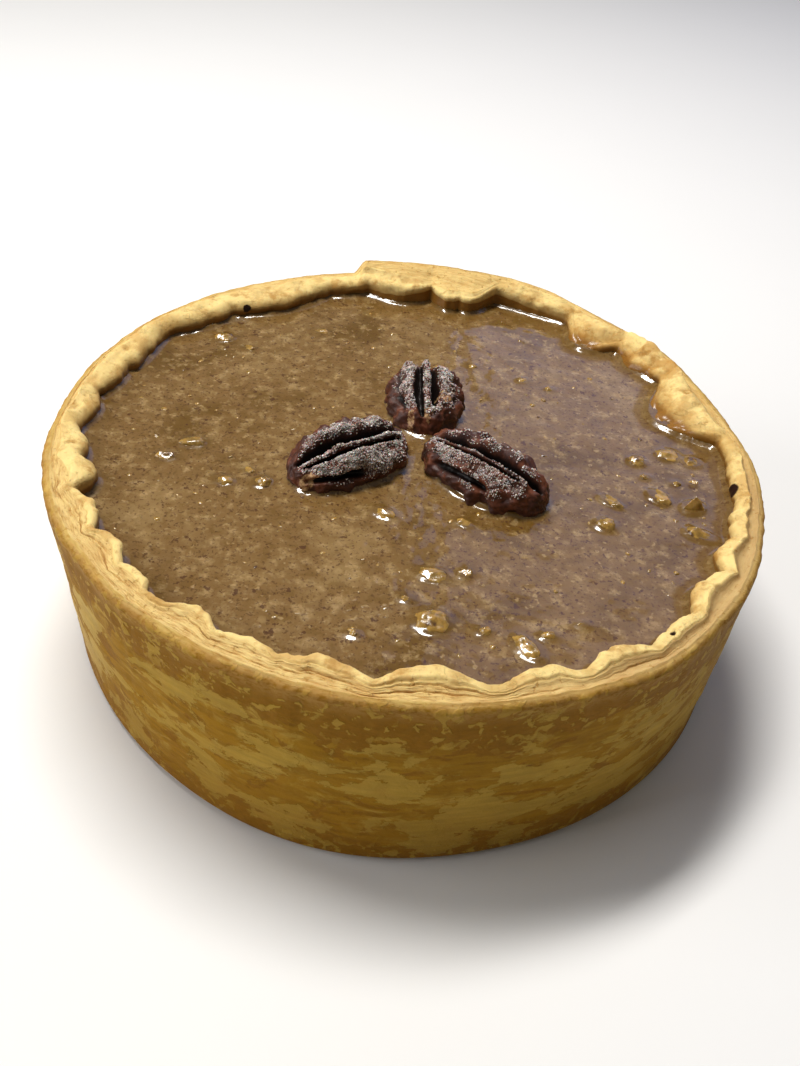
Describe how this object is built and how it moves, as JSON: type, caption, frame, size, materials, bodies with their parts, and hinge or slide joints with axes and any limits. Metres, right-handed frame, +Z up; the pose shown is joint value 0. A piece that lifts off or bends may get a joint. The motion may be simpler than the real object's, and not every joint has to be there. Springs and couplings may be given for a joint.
{
  "type": "custard tart",
  "caption": "Round deep tart: a laminated pastry case with a scalloped lip, filled with set nut custard and topped with pecan halves.",
  "frame": {"origin": "centre of the flat base, on the surface that the tart stands on", "axes": "+Z up through the custard, -Y towards the front as pictured, +X to the right"},
  "size_m": [0.1492, 0.1501, 0.0501],
  "materials": {
    "baked_pastry": "golden baked laminated pastry, dull and slightly flaky",
    "nut_custard": "wet glossy brown custard with ground nuts",
    "sugared_pecan": "dark roasted nut skin with a white sugar frost"
  },
  "bodies": {
    "root": {"crust": "baked_pastry", "custard": "nut_custard", "pecan_left": "sugared_pecan", "pecan_right": "sugared_pecan", "pecan_back": "sugared_pecan"}
  },
  "joints": []
}
